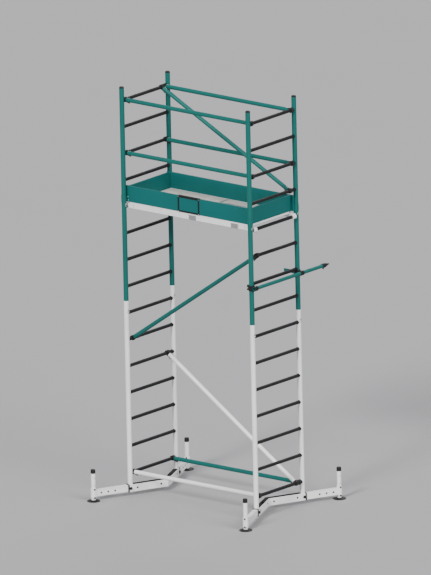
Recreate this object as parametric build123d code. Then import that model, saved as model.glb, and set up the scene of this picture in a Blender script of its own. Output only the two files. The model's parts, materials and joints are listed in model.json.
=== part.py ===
from build123d import *
import math
import os

# A tower scaffold section, one bay long. X runs along the bay, Y across it and Z up.
# The origin is on the floor, at the middle of the tower. All sizes are in millimetres.

# Overall layout
bay_length = 1480  # between the rung axes of the two ladder ends
frame_width = 660  # between the upright axes of one ladder end
rung_pitch = 250
bottom_rung_z = 217  # axis of the lowest rung above the floor
joint_above_rung = 118  # a frame ends this far above its top rung
rungs_per_frame = {"lower": 7, "upper": 4, "guard": 4}

# Ladder frames
upright_d = 45
upright_wall = 2.5
rung_d = 32
rung_wall = 2
spigot_wall = 3
spigot_grip = 130  # length of spigot in each tube
spigot_clearance = 0.3
pin_below_joint = 90
pin_d = 10
pin_clearance = 0.3
pin_head_d = 18
pin_head_height = 5
pin_tail = 7
cap_height = 14
cap_plug = 25

# Base beams, outrigger legs and feet
splay_angle = 24  # of each beam arm from the Y direction, in degrees
beam_width = 50
beam_height = 67
beam_wall = 3
beam_bottom_z = 42
beam_overhang = 28  # beam past the upright axis
leg_clearance = 0.5
leg_wall = 3
leg_reach = 375  # foot axis past the upright axis, along the arm
leg_inserted = 140
leg_hole_d = 18
leg_hole_pitch = 70
leg_hole_count = 3
lock_inset = 20  # lock screw from the beam's end
second_hole_inset = 90
bend_hole_inset = 330
lock_thread_d = 10
lock_knob_d = 26
lock_knob_height = 12
stub_height = 100
tread_width = 42
tread_thickness = 3
tread_gap = 1
collar_wall = 5
collar_above_leg = 14
collar_below_leg = 12
foot_tube_d = 40
foot_tube_wall = 3
foot_clearance = 0.3
foot_height = 300
foot_hole_d = 10
foot_hole_z = (80, 150, 220)
foot_cap_skirt = 38
foot_cap_wall = 2
foot_cap_top = 8
pad_d = 120
pad_rim = 6
pad_dome = 8
pad_socket = 5
pad_hub_d = 56

# Braces and their claws
brace_d = 38
brace_wall = 2.5
lane_gap = 3  # between an upright and the first brace, and between two braces
claw_width = 34
claw_clearance = 0.3
claw_thickness = 8
claw_neck = 25  # from the rung axis to the end of the brace tube
claw_neck_height = 28
claw_plug = 30
claw_mouth_drop = 7
latch_width = 18
latch_thickness = 7
latch_gap = 0.5

# Platform on the tower
platform_rung = 10
platform_width = 600
deck_above_rung = 48
side_rail_height = 58
side_rail_width = 20
side_rail_wall = 2.5
platform_end_gap = 40  # from a rung's axis to the end of the side rails
hook_width = 38
hook_thickness = 14
hook_lip = 12
hook_clearance = 0.3
cross_member = 30
cross_member_wall = 2
cross_member_setback = 30  # from the side rails' ends
end_rail_height = 20
end_rail_thickness = 15
deck_thickness = 12
deck_gap = 1.5
hatch_start_x = 0
hatch_length = 570
hatch_depth = 420
hatch_ledge = 8  # support under each free edge of the hatch
hinge_x = (40, 530)
hinge_plate_width = 80
hinge_leaf_width = 52
hinge_plate = 3
hinge_plate_height = 46
knuckle_d = 10
hinge_pin_d = 4
hinge_running_gap = 0.06
knuckle_end_gap = 0.3
leaf_depth = 34
ring_x = 500
ring_from_edge = 60
ring_wire_d = 5
ring_width = 56
ring_lift = 1
ring_ear = 7
wind_lock_thickness = 8
wind_lock_bar = 10
wind_lock_gap = 1.5
wind_lock_tip = 12
wind_lock_pivot_d = 8

# Toe boards
toe_rung_gap = 36  # from a toe board's top to the rung above it
toe_thickness = 20
toe_end_gap = 25  # from the rung axis to the outer face of an end board
toe_setback = 2  # from the uprights to the long boards, which end at the rung axes
clip_height = 60
clip_thickness = 3
clip_tongue = 16  # on the board, past the upright
sign_width = 250
sign_bar = 14
sign_thickness = 4
sign_lip = 4

# Wall tie
tie_rung = 8
tie_below_rung = 35
tie_d = 34
tie_wall = 3
tie_post_gap = 6  # between an upright and the tie tube
tie_start_y = -350
tie_end_y = 660
tie_sliding_gap = 0.3
hook_collar_d = 42
hook_collar_length = 36
spike_length = 68
spike_tip_d = 7
nub_d = 12
nub_height = 10
coupler_height = 48
coupler_wall = 6
coupler_length = 40
lug_size = 22
lug_plate = 5
lever_length = 124
lever_height = 32
lever_thickness = 7
lever_pin_d = 8
lever_end_gap = 0.3
lever_running_gap = 0.08

# Worked out from the sizes above
ENDS = {"left": -1, "right": 1}
SIDES = {"front": -1, "rear": 1}
rung_x = bay_length / 2
post_y = frame_width / 2
upright_bore = upright_d - 2 * upright_wall
beam_top_z = beam_bottom_z + beam_height
splay = math.radians(splay_angle)
bend_to_post = post_y / math.cos(splay)
leg_width = beam_width - 2 * beam_wall - 2 * leg_clearance
leg_height = beam_height - 2 * beam_wall - 2 * leg_clearance
leg_bottom_z = beam_bottom_z + beam_wall + leg_clearance
lock_along = beam_overhang - lock_inset
foot_bore = foot_tube_d + 2 * foot_clearance
claw_bore = rung_d + 2 * claw_clearance
claw_outer = claw_bore + 2 * claw_thickness
lane_width = max(brace_d, claw_width)
outer_lane = post_y - upright_d / 2 - lane_gap - lane_width / 2
inner_lane = outer_lane - lane_width - lane_gap
deck_top_z = bottom_rung_z + platform_rung * rung_pitch + deck_above_rung
deck_bottom_z = deck_top_z - deck_thickness
rail_bottom_z = deck_top_z - side_rail_height
rail_outer_y = platform_width / 2
rail_inner_y = rail_outer_y - side_rail_width
platform_end_x = rung_x - platform_end_gap
hinge_y = -rail_inner_y + hinge_plate + knuckle_d / 2
hinge_z = deck_top_z + knuckle_d / 2
hatch_front_y = hinge_y  # no edge of the hatch dips as it opens
hatch_rear_y = hatch_front_y + hatch_depth
toe_height = rung_pitch - deck_above_rung - rung_d / 2 - toe_rung_gap
toe_outer_y = post_y - upright_d / 2 - toe_setback
tie_x = rung_x + upright_d / 2 + tie_post_gap + tie_d / 2
tie_z = bottom_rung_z + tie_rung * rung_pitch - tie_below_rung


def rung_z(number):
    """Height of a rung's axis; rung 0 is the lowest."""
    return bottom_rung_z + number * rung_pitch


def rod(start, end, diameter):
    """A solid round bar between two points."""
    run = Vector(*end) - Vector(*start)
    return Solid.make_cylinder(diameter / 2, run.length, Plane(origin=start, z_dir=run))


def tube(start, end, diameter, wall):
    """A round tube between two points."""
    return rod(start, end, diameter) - rod(start, end, diameter - 2 * wall)


def block(x, y, z):
    """A box from three (low, high) pairs."""
    corner = Plane(origin=(min(x), min(y), min(z)))
    return Solid.make_box(abs(x[1] - x[0]), abs(y[1] - y[0]), abs(z[1] - z[0]), corner)


def solids_of(shapes):
    """Every separate solid in a nest of shapes."""
    if isinstance(shapes, (list, tuple)):
        return [solid for shape in shapes for solid in solids_of(shape)]
    return list(shapes.solids())


def save(node, *shapes):
    """Write one node: a single solid, or a group of separate solids."""
    found = solids_of(list(shapes))
    whole = found[0] if len(found) == 1 else Compound(found)
    export_step(whole, f"parts/{node}.step")


# ---------------------------------------------------------------- ladder ends


def frame_span(frame):
    """Lowest rung number, rung count, bottom and top of one ladder frame."""
    first = 0
    bottom = beam_top_z
    for name, count in rungs_per_frame.items():
        top = rung_z(first + count - 1) + joint_above_rung
        if name == frame:
            return first, count, bottom, top
        first += count
        bottom = top
    raise ValueError(frame)


def joint_heights():
    """Where one frame stands on the frame below it."""
    return [frame_span(frame)[2] for frame in ("upper", "guard")]


def pin_bores(x, y, diameter):
    """The cross holes of one stack of uprights, along X."""
    reach = upright_d
    return [rod((x - reach, y, z - pin_below_joint), (x + reach, y, z - pin_below_joint), diameter)
            for z in joint_heights()]


def upright(x, y, frame):
    _, _, bottom, top = frame_span(frame)
    post = tube((x, y, bottom), (x, y, top), upright_d, upright_wall)
    for bore in pin_bores(x, y, pin_d + 2 * pin_clearance):
        post = post - bore
    return post


def rung(x, number):
    """A rung whose ends are coped to the uprights."""
    z = rung_z(number)
    bar = tube((x, -post_y, z), (x, post_y, z), rung_d, rung_wall)
    for y in (-post_y, post_y):
        bar = bar - rod((x, y, z - rung_d), (x, y, z + rung_d), upright_d)
    return bar


def spigot(x, y, joint_z):
    """A sleeve pressed into the upper tube, with a sliding lower half pinned in the lower tube."""
    pressed = rod((x, y, joint_z), (x, y, joint_z + spigot_grip), upright_bore)
    sliding_d = upright_bore - 2 * spigot_clearance
    sliding = rod((x, y, joint_z - spigot_grip), (x, y, joint_z), sliding_d)
    bore_d = upright_bore - 2 * spigot_wall
    sleeve = pressed + sliding - rod((x, y, joint_z - spigot_grip), (x, y, joint_z + spigot_grip), bore_d)
    for bore in pin_bores(x, y, pin_d + 2 * pin_clearance):
        sleeve = sleeve - bore
    return sleeve


def lock_pin(x, y, joint_z):
    """A headed pin through an upright and its spigot."""
    z = joint_z - pin_below_joint
    face = x + upright_d / 2
    shank = rod((x - upright_d / 2 - pin_tail, y, z), (face, y, z), pin_d)
    return shank + rod((face, y, z), (face + pin_head_height, y, z), pin_head_d)


def upright_cap(x, y):
    top = frame_span("guard")[3]
    lid = rod((x, y, top), (x, y, top + cap_height), upright_d)
    return lid + rod((x, y, top - cap_plug), (x, y, top), upright_bore)


def make_ladder_ends():
    corners = [(end * rung_x, side * post_y) for end in ENDS.values() for side in SIDES.values()]
    rung_total = sum(rungs_per_frame.values())
    for end_name, end in ENDS.items():
        x = end * rung_x
        for frame in rungs_per_frame:
            pair = [upright(x, side * post_y, frame) for side in SIDES.values()]
            save(f"{frame}_uprights_{end_name}", pair)
        save(f"rungs_{end_name}", [rung(x, number) for number in range(rung_total)])
    save("frame_spigots", [spigot(x, y, z) for x, y in corners for z in joint_heights()])
    save("frame_lock_pins", [lock_pin(x, y, z) for x, y in corners for z in joint_heights()])
    save("upright_caps", [upright_cap(x, y) for x, y in corners])


# ---------------------------------------------------------------- base


def arm_place(end, side):
    """A frame at one upright's foot: x runs out along the beam arm and z is up, from the floor."""
    outward = (end * math.sin(splay), side * math.cos(splay), 0)
    return Plane(origin=(end * rung_x, side * post_y, 0), x_dir=outward, z_dir=(0, 0, 1)).location


def arm_block(end, side, along, width, z):
    """A box laid along one beam arm."""
    return arm_place(end, side) * block(along, (-width / 2, width / 2), z)


def arm_cross_hole(end, side, along, z, diameter, reach):
    """A round bar across one arm, level, for its cross holes."""
    return arm_place(end, side) * rod((along, -reach, z), (along, reach, z), diameter)


def half_beam(end, side, stop, width, z):
    """One arm of a bent beam, mitred on the plane Y = 0."""
    far = 2 * bend_to_post
    arm = arm_block(end, side, (-bend_to_post - width, stop), width, z)
    keep = block((end * rung_x - far, end * rung_x + far), (0, side * far), (z[0] - 1, z[1] + 1))
    return arm & keep


def bent_bar(end, stop, width, z):
    return half_beam(end, -1, stop, width, z) + half_beam(end, 1, stop, width, z)


def base_beam(end):
    """A bent box beam with a stub for each upright."""
    outer = bent_bar(end, beam_overhang, beam_width, (beam_bottom_z, beam_top_z))
    inside = (beam_bottom_z + beam_wall, beam_top_z - beam_wall)
    beam = outer - bent_bar(end, beam_overhang + 1, beam_width - 2 * beam_wall, inside)
    middle_z = (beam_bottom_z + beam_top_z) / 2
    stub_d = upright_bore - 2 * spigot_clearance
    for side in SIDES.values():
        foot = (end * rung_x, side * post_y, beam_top_z)
        head = (end * rung_x, side * post_y, beam_top_z + stub_height)
        beam = beam + tube(foot, head, stub_d, spigot_wall)
        for inset in (lock_inset, second_hole_inset, bend_hole_inset):
            along = beam_overhang - inset
            bore_d = lock_thread_d + 2 * pin_clearance
            beam = beam - arm_cross_hole(end, side, along, middle_z, bore_d, beam_width)
    return beam


def tread(end):
    """The anti-slip strip on a beam, between its two uprights."""
    strip = bent_bar(end, 0, tread_width, (beam_top_z, beam_top_z + tread_thickness))
    for side in SIDES.values():
        foot = (end * rung_x, side * post_y, beam_bottom_z)
        head = (end * rung_x, side * post_y, beam_top_z + stub_height)
        strip = strip - rod(foot, head, upright_d + 2 * tread_gap)
    return strip


def lock_screw(end, side):
    """A hand screw through the beam's wall, on the arm's +X side; its tip ends flush inside."""
    z = (beam_bottom_z + beam_top_z) / 2
    across = -side
    wall_inner = across * (beam_width / 2 - beam_wall)
    wall_outer = across * beam_width / 2
    knob_end = across * (beam_width / 2 + lock_knob_height)
    shank = rod((lock_along, wall_inner, z), (lock_along, wall_outer, z), lock_thread_d)
    knob = rod((lock_along, wall_outer, z), (lock_along, knob_end, z), lock_knob_d)
    return arm_place(end, side) * (shank + knob)


def outrigger_leg(end, side):
    """A box leg that telescopes in the beam, with the foot's round collar welded on its end."""
    start = beam_overhang - leg_inserted
    z = (leg_bottom_z, leg_bottom_z + leg_height)
    collar_z = (z[0] - collar_below_leg, z[1] + collar_above_leg)
    collar_d = foot_bore + 2 * collar_wall
    hollow_z = (z[0] + leg_wall, z[1] - leg_wall)
    hollow = arm_block(end, side, (start - 1, leg_reach), leg_width - 2 * leg_wall, hollow_z)
    leg = arm_block(end, side, (start, leg_reach), leg_width, z) - hollow
    place = arm_place(end, side)
    leg = leg + place * rod((leg_reach, 0, collar_z[0]), (leg_reach, 0, collar_z[1]), collar_d)
    leg = leg - place * rod((leg_reach, 0, 0), (leg_reach, 0, foot_height), foot_bore)
    middle_z = (z[0] + z[1]) / 2
    for along in [leg_reach - leg_hole_pitch * (1 + n) for n in range(leg_hole_count)] + [lock_along]:
        leg = leg - arm_cross_hole(end, side, along, middle_z, leg_hole_d, leg_width)
    return leg


def foot_tube(end, side):
    place = arm_place(end, side)
    bottom = pad_rim + pad_dome - pad_socket
    top = foot_height - foot_cap_top
    pole = tube((leg_reach, 0, bottom), (leg_reach, 0, top), foot_tube_d, foot_tube_wall)
    for z in foot_hole_z:
        pole = pole - rod((leg_reach, -foot_tube_d, z), (leg_reach, foot_tube_d, z), foot_hole_d)
    return place * pole


def foot_pad(end, side):
    """A round pad whose hub holds the foot tube."""
    rim = rod((leg_reach, 0, 0), (leg_reach, 0, pad_rim), pad_d)
    dome_plane = Plane(origin=(leg_reach, 0, pad_rim))
    dome = Solid.make_cone(pad_d / 2, pad_hub_d / 2, pad_dome, dome_plane)
    top = pad_rim + pad_dome
    socket = rod((leg_reach, 0, top - pad_socket), (leg_reach, 0, top), foot_tube_d)
    return arm_place(end, side) * (rim + dome - socket)


def foot_cap(end, side):
    cap = rod((leg_reach, 0, foot_height - foot_cap_skirt), (leg_reach, 0, foot_height),
              foot_tube_d + 2 * foot_cap_wall)
    ceiling = foot_height - foot_cap_top
    cap = cap - rod((leg_reach, 0, foot_height - foot_cap_skirt), (leg_reach, 0, ceiling), foot_tube_d)
    return arm_place(end, side) * cap


def make_base():
    for end_name, end in ENDS.items():
        save(f"base_beam_{end_name}", base_beam(end))
        for side_name, side in SIDES.items():
            corner = f"{end_name}_{side_name}"
            save(f"outrigger_leg_{corner}", outrigger_leg(end, side))
            save(f"foot_tube_{corner}", foot_tube(end, side))
            save(f"foot_pad_and_cap_{corner}", foot_pad(end, side), foot_cap(end, side))
    save("base_beam_treads", [tread(end) for end in ENDS.values()])
    save("leg_lock_screws", [lock_screw(end, side) for end in ENDS.values() for side in SIDES.values()])


# ---------------------------------------------------------------- braces


def claw_place(end, rung_number, toward, y):
    """A frame on a rung: x points along the brace, y along the rung and z up."""
    origin = Vector(end * rung_x, y, rung_z(rung_number))
    run = Vector(*toward) - origin
    return Plane(origin=origin, x_dir=run, z_dir=run.cross(Vector(0, -end, 0))).location


def claw():
    """A hook over the rung with a plug for the brace tube, in its own frame."""
    half = claw_width / 2
    ring = rod((0, -half, 0), (0, half, 0), claw_outer)
    neck = block((0, claw_neck), (-half, half), (-claw_neck_height / 2, claw_neck_height / 2))
    hook = ring + neck & rod((-claw_outer, 0, 0), (claw_neck, 0, 0), 2 * claw_outer)
    hook = hook + rod((claw_neck - claw_thickness, 0, 0), (claw_neck, 0, 0), brace_d)
    hook = hook + rod((claw_neck, 0, 0), (claw_neck + claw_plug, 0, 0), brace_d - 2 * brace_wall)
    hook = hook - rod((0, -claw_width, 0), (0, claw_width, 0), claw_bore)
    mouth = block((-claw_outer, claw_bore / 2), (-claw_width, claw_width), (-claw_outer, -claw_mouth_drop))
    return hook - mouth


def claw_latch():
    """The lower jaw that closes a claw's mouth under the rung."""
    half = latch_width / 2
    inner = claw_bore + 2 * latch_gap
    reach = claw_outer
    jaw = rod((0, -half, 0), (0, half, 0), inner + 2 * latch_thickness)
    jaw = jaw - rod((0, -half, 0), (0, half, 0), inner)
    below = (-reach, -claw_mouth_drop - latch_gap)
    return jaw & block((-reach, claw_bore / 2 - latch_gap), (-reach, reach), below)


def brace(left_rung, right_rung, y):
    """A brace tube from a rung of the left end to a rung of the right end, with both claws."""
    left = Vector(-rung_x, y, rung_z(left_rung))
    right = Vector(rung_x, y, rung_z(right_rung))
    along = (right - left).normalized()
    pole = tube(left + along * claw_neck, right - along * claw_neck, brace_d, brace_wall)
    places = (claw_place(-1, left_rung, right, y), claw_place(1, right_rung, left, y))
    return pole, [place * claw() for place in places], [place * claw_latch() for place in places]


def make_braces():
    rungs_and_lane = {
        "guardrail_front": (14, 14, -outer_lane),
        "guardrail_rear": (14, 14, outer_lane),
        "midrail_front": (12, 12, -outer_lane),
        "midrail_rear": (12, 12, outer_lane),
        "diagonal_brace_upper_rear": (14, 11, inner_lane),
        "diagonal_brace_middle_front": (5, 9, -inner_lane),
        "diagonal_brace_lower_rear": (4, 0, inner_lane),
        "base_rail_front": (0, 0, -outer_lane),
        "base_rail_rear": (0, 0, outer_lane),
    }
    claws = []
    latches = []
    for node, (left_rung, right_rung, y) in rungs_and_lane.items():
        pole, pair, jaws = brace(left_rung, right_rung, y)
        save(node, pole)
        claws += pair
        latches += jaws
    save("brace_claws", claws)
    save("brace_claw_latches", latches)


# ---------------------------------------------------------------- platform


def side_rail(side):
    y = (side * rail_inner_y, side * rail_outer_y)
    inset = (side * (rail_inner_y + side_rail_wall), side * (rail_outer_y - side_rail_wall))
    ends = (-platform_end_x, platform_end_x)
    hollow = block(ends, inset, (rail_bottom_z + side_rail_wall, deck_top_z - side_rail_wall))
    return block(ends, y, (rail_bottom_z, deck_top_z)) - hollow


def end_rail(end):
    """The bar across one end of the deck, between the two hooks and under the end toe board."""
    x = (end * platform_end_x, end * (platform_end_x + end_rail_thickness))
    half = rail_outer_y - hook_width
    return block(x, (-half, half), (deck_top_z - end_rail_height, deck_top_z))


def square_member(x, y):
    """A square tube under the deck, open along its longer way."""
    z = (deck_bottom_z - cross_member, deck_bottom_z)
    wall = cross_member_wall
    hollow_z = (z[0] + wall, z[1] - wall)
    if abs(x[1] - x[0]) > abs(y[1] - y[0]):
        return block(x, y, z) - block(x, (y[0] + wall, y[1] - wall), hollow_z)
    return block(x, y, z) - block((x[0] + wall, x[1] - wall), y, hollow_z)


def cross_member_centres():
    """X of each cross member: the two ends, the left bay's middle, and both ends of the hatch."""
    end = platform_end_x - cross_member_setback - cross_member / 2
    hatch_left = hatch_start_x + hatch_ledge - cross_member / 2
    hatch_right = hatch_start_x + hatch_length - hatch_ledge + cross_member / 2
    return [-end, (hatch_left - end) / 2, hatch_left, hatch_right, end]


def cross_members():
    half = cross_member / 2
    span = (-rail_inner_y, rail_inner_y)
    tubes = [square_member((x - half, x + half), span) for x in cross_member_centres()]
    trimmer_x = (hatch_start_x + hatch_ledge, hatch_start_x + hatch_length - hatch_ledge)
    trimmer_y = (hatch_rear_y - hatch_ledge, hatch_rear_y - hatch_ledge + cross_member)
    return tubes + [square_member(trimmer_x, trimmer_y)]


def platform_hook(end, side):
    """A hook on a side rail's end that hangs on the platform rung."""
    x = end * rung_x
    z = rung_z(platform_rung)
    y = (side * (rail_outer_y - hook_width), side * rail_outer_y)
    bore = rung_d + 2 * hook_clearance
    reach = bore / 2 + hook_thickness
    crown = rod((x, y[0], z), (x, y[1], z), 2 * reach)
    root = block((end * platform_end_x, x), y, (rail_bottom_z, min(deck_top_z, z + reach)))
    shape = crown + root - rod((x, y[0], z), (x, y[1], z), bore)
    shape = shape - block((x - bore / 2, x + bore / 2), y, (z - 2 * reach, z))
    return shape - block((x - 2 * reach, x + 2 * reach), y, (z - 2 * reach, z - hook_lip))


def deck_boards():
    """The fixed boards: left half, right end and the strip behind the hatch."""
    z = (deck_bottom_z, deck_top_z)
    whole_y = (-rail_inner_y, rail_inner_y)
    hatch_end_x = hatch_start_x + hatch_length
    left = block((-platform_end_x, hatch_start_x - deck_gap), whole_y, z)
    right = block((hatch_end_x + deck_gap, platform_end_x), whole_y, z)
    strip = block((hatch_start_x, hatch_end_x), (hatch_rear_y + deck_gap, rail_inner_y), z)
    return [left, right, strip]


def hatch_panel():
    """The trapdoor's board, between the front side rail and the strip behind it."""
    z = (deck_bottom_z, deck_top_z)
    return block((hatch_start_x, hatch_start_x + hatch_length), (hatch_front_y, hatch_rear_y), z)


def hatch_leaf(x):
    """A moving leaf on the hatch, with the middle knuckle round the hinge pin."""
    half = hinge_leaf_width / 6 - knuckle_end_gap
    plate_z = (deck_top_z, deck_top_z + hinge_plate)
    leaf = block((x - half, x + half), (hinge_y, hinge_y + leaf_depth), plate_z)
    leaf = leaf + rod((x - half, hinge_y, hinge_z), (x + half, hinge_y, hinge_z), knuckle_d)
    bore = hinge_pin_d + 2 * hinge_running_gap
    return leaf - rod((x - half, hinge_y, hinge_z), (x + half, hinge_y, hinge_z), bore)


def hinge_bracket(x):
    """A hinge bracket that wraps under the front side rail and carries the pin in two knuckles."""
    half = hinge_leaf_width / 2
    wide = hinge_plate_width / 2
    outer = -rail_outer_y
    inner = -rail_inner_y
    low = rail_bottom_z - hinge_plate
    plate = block((x - wide, x + wide), (outer - hinge_plate, outer), (low, low + hinge_plate_height))
    under = block((x - half, x + half), (outer - hinge_plate, inner + hinge_plate), (low, rail_bottom_z))
    leaf = block((x - half, x + half), (inner, inner + hinge_plate), (low, deck_top_z))
    bracket = plate + under + leaf
    third = hinge_leaf_width / 6
    for start, stop in ((x - half, x - third), (x + third, x + half)):
        bracket = bracket + rod((start, hinge_y, hinge_z), (stop, hinge_y, hinge_z), knuckle_d)
        bracket = bracket + block((start, stop), (inner, hinge_y), (deck_top_z, hinge_z))
    return bracket + rod((x - half, hinge_y, hinge_z), (x + half, hinge_y, hinge_z), hinge_pin_d)


def ring_place():
    """The lifting ring's own axis, on the hatch."""
    return ring_x, hatch_rear_y - ring_from_edge, deck_top_z + ring_lift + ring_wire_d / 2


def lifting_ring():
    """A wire D-ring that lies flat on the hatch and lifts about its straight side."""
    x, y, z = ring_place()
    half = ring_width / 2
    straight = rod((x - half, y, z), (x + half, y, z), ring_wire_d)
    hoop = Solid.make_torus(half, ring_wire_d / 2, Plane(origin=(x, y, z)))
    reach = ring_width
    return straight + (hoop & block((x - reach, x + reach), (y - reach, y), (z - reach, z + reach)))


def ring_ears():
    """Two ears on the hatch round the ring's straight side."""
    x, y, z = ring_place()
    ears = []
    for shift in (-ring_width / 4, ring_width / 4):
        ear_x = (x + shift - ring_ear / 2, x + shift + ring_ear / 2)
        ear = block(ear_x, (y - ring_ear, y + ring_ear), (deck_top_z, z + ring_wire_d / 2 + hinge_plate))
        bore = ring_wire_d + 2 * hinge_running_gap
        ears.append(ear - rod((ear_x[0], y, z), (ear_x[1], y, z), bore))
    return ears


def wind_lock_pivot(end):
    """Where a wind lock turns, on the inner face of a hook."""
    return end * (platform_end_x + wind_lock_bar + wind_lock_gap), rung_z(platform_rung) + hook_thickness


def wind_lock(end, side):
    """A swinging latch that closes under the platform rung."""
    x, z = wind_lock_pivot(end)
    face = side * (rail_outer_y - hook_width - wind_lock_gap)
    y = (face, face - side * wind_lock_thickness)
    top = rung_z(platform_rung) - rung_d / 2 - wind_lock_gap
    stem = block((x - wind_lock_bar / 2, x + wind_lock_bar / 2), y, (top - wind_lock_bar, z))
    tip_x = end * (rung_x + wind_lock_tip)
    toe = block((x - end * wind_lock_bar / 2, tip_x), y, (top - wind_lock_bar, top))
    eye = rod((x, y[0], z), (x, y[1], z), 2 * wind_lock_bar)
    bore = rod((x, y[0], z), (x, y[1], z), wind_lock_pivot_d + 2 * lever_running_gap)
    return stem + toe + eye - bore


def wind_lock_pin(end, side):
    """The headed pivot of a wind lock, on the hook."""
    x, z = wind_lock_pivot(end)
    face = side * (rail_outer_y - hook_width)
    head_y = face - side * (2 * wind_lock_gap + wind_lock_thickness)
    shank = rod((x, face, z), (x, head_y, z), wind_lock_pivot_d)
    return shank + rod((x, head_y, z), (x, head_y - side * hinge_plate, z), 2 * wind_lock_pivot_d)


def make_platform():
    rails = [side_rail(side) for side in SIDES.values()]
    save("platform_side_rails", rails, [end_rail(end) for end in ENDS.values()])
    save("platform_cross_members", cross_members())
    save("platform_hooks", [platform_hook(end, side) for end in ENDS.values() for side in SIDES.values()])
    save("deck_boards", deck_boards())
    save("hatch_panel", hatch_panel())
    save("hatch_hinge_leaves", [hatch_leaf(x) for x in hinge_x])
    save("hatch_hinge_brackets", [hinge_bracket(x) for x in hinge_x])
    save("hatch_lifting_ring", lifting_ring())
    save("hatch_ring_ears", ring_ears())
    for end_name, end in ENDS.items():
        save(f"wind_lock_{end_name}", wind_lock(end, -end))
    save("wind_lock_pins", [wind_lock_pin(end, -end) for end in ENDS.values()])


# ---------------------------------------------------------------- toe boards


def toe_z():
    return deck_top_z, deck_top_z + toe_height


def long_toe_board(side):
    y = (side * (toe_outer_y - toe_thickness), side * toe_outer_y)
    return block((-rung_x, rung_x), y, toe_z())


def end_toe_board(end):
    outer = rung_x - toe_end_gap
    half = toe_outer_y - toe_thickness
    return block((end * (outer - toe_thickness), end * outer), (-half, half), toe_z())


def toe_clip(end, side):
    """A band round an upright with a tongue on a long board's outer face."""
    x, y = end * rung_x, side * post_y
    low = deck_top_z
    high = low + clip_height
    tongue_x = (x, x - end * (upright_d / 2 + clip_tongue))
    tongue_y = (side * toe_outer_y, side * (toe_outer_y + clip_thickness))
    clip = rod((x, y, low), (x, y, high), upright_d + 2 * clip_thickness)
    clip = clip + block(tongue_x, tongue_y, (low, high)) - rod((x, y, low), (x, y, high), upright_d)
    return clip - block((x - upright_d, x + upright_d), (0, side * toe_outer_y), (low, high))


def sign_frame():
    """A blank frame on the front board that hooks over the board's top edge."""
    half = sign_width / 2
    low, high = toe_z()
    face = -toe_outer_y
    y = (face - sign_thickness, face)
    frame = block((-half, half), y, (low, high + sign_lip))
    frame = frame - block((-half + sign_bar, half - sign_bar), y, (low + sign_bar, high - sign_bar))
    return frame + block((-half, half), (face, face + toe_thickness), (high, high + sign_lip))


def make_toe_boards():
    for side_name, side in SIDES.items():
        save(f"toe_board_{side_name}", long_toe_board(side))
    for end_name, end in ENDS.items():
        save(f"toe_board_{end_name}", end_toe_board(end))
    save("toe_board_clips", [toe_clip(end, side) for end in ENDS.values() for side in SIDES.values()])
    save("toe_board_sign_frame", sign_frame())


# ---------------------------------------------------------------- wall tie


def coupler_body(side):
    """A coupler that grips an upright and guides the tie tube beside it."""
    y = side * post_y
    low = tie_z - coupler_height / 2
    high = tie_z + coupler_height / 2
    body = rod((rung_x, y, low), (rung_x, y, high), upright_d + 2 * coupler_wall)
    half = coupler_length / 2
    body = body + rod((tie_x, y - half, tie_z), (tie_x, y + half, tie_z), tie_d + 2 * coupler_wall)
    lug_x = (rung_x - upright_d / 2 - lug_size, rung_x)
    body = body + block(lug_x, (y - lug_size / 2, y + lug_size / 2), (low, high))
    body = body - rod((rung_x, y, low), (rung_x, y, high), upright_d)
    bore = tie_d + 2 * tie_sliding_gap
    body = body - rod((tie_x, y - 2 * half, tie_z), (tie_x, y + 2 * half, tie_z), bore)
    cope_z = rung_z(tie_rung)
    return body - rod((rung_x, -post_y, cope_z), (rung_x, post_y, cope_z), rung_d + 2 * tie_sliding_gap)


def lever_axis():
    """X and Y of the rear coupler's lever pin."""
    return rung_x - upright_d / 2 - lug_size / 2, post_y


def tie_couplers():
    """The plain front coupler, and the rear one with a slotted lug and its lever pin."""
    x, y = lever_axis()
    low = tie_z - coupler_height / 2 + lug_plate
    high = tie_z + coupler_height / 2 - lug_plate
    slot_x = (x - lug_size, rung_x - upright_d / 2)
    rear = coupler_body(1) - block(slot_x, (y - lug_size, y + lug_size), (low, high))
    rear = rear + rod((x, y, low), (x, y, high), lever_pin_d)
    return [coupler_body(-1), rear]


def coupler_lever():
    """The clamp lever of the rear coupler, pointing along the bay."""
    x, y = lever_axis()
    low = tie_z - lever_height / 2
    high = tie_z + lever_height / 2
    eye_d = lug_size - 2 * lever_end_gap - 2
    arm = block((x - lever_length, x), (y - lever_thickness / 2, y + lever_thickness / 2), (low, high))
    arm = arm + rod((x, y, low), (x, y, high), eye_d)
    return arm - rod((x, y, low), (x, y, high), lever_pin_d + 2 * lever_running_gap)


def tie_tube():
    return tube((tie_x, tie_start_y, tie_z), (tie_x, tie_end_y, tie_z), tie_d, tie_wall)


def tie_hook():
    """A collar on the tube's end with a tapered spike, and a stop underneath."""
    end = tie_end_y
    back = end - hook_collar_length
    tip = end + spike_length
    collar = rod((tie_x, back, tie_z), (tie_x, end, tie_z), hook_collar_d)
    collar = collar - rod((tie_x, back, tie_z), (tie_x, end, tie_z), tie_d)
    base = Plane(origin=(tie_x, end, tie_z), z_dir=(0, 1, 0))
    spike = Solid.make_cone(hook_collar_d / 2, spike_tip_d / 2, tip - end, base)
    nub_y = (back + end) / 2
    nub_z = tie_z - hook_collar_d / 2
    nub = rod((tie_x, nub_y, nub_z - nub_height), (tie_x, nub_y, nub_z + coupler_wall / 4), nub_d)
    return collar + spike + nub


def make_wall_tie():
    save("wall_tie_couplers", tie_couplers())
    save("wall_tie_coupler_lever", coupler_lever())
    save("wall_tie_tube", tie_tube())
    save("wall_tie_hook", tie_hook())


os.makedirs("parts", exist_ok=True)
make_ladder_ends()
make_base()
make_braces()
make_platform()
make_toe_boards()
make_wall_tie()
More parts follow.
